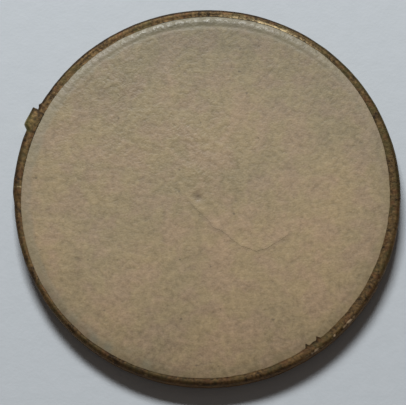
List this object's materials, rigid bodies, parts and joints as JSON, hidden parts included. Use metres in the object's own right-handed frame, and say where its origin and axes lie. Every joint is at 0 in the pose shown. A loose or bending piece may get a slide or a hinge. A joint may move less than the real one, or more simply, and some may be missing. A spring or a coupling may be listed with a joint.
{
  "type": "transit token",
  "caption": "Round fare token: a struck brass plate and pasteboard core with a plain paper face, bound at the edge by a lapped brass foil band.",
  "frame": {"origin": "centre of the token on the surface that it rests on, at the lowest point of the struck plate's raised border", "axes": "+Z along the token's axis, out of the plain paper face; the band's lap lies near -X, its flared free end at about 152 to 159 degrees from +X"},
  "size_m": [0.0381, 0.038, 0.0023],
  "materials": {
    "band_foil": "satin",
    "struck_brass": "satin",
    "face_paper": "matte",
    "pasteboard": "matte",
    "solder": "matte"
  },
  "bodies": {
    "root": {"edge_band": "band_foil", "lap_solder": "solder", "rear_facing": "face_paper", "rear_board": "pasteboard", "middle_board": "pasteboard", "front_board": "pasteboard", "obverse_plate": "struck_brass"}
  },
  "joints": []
}
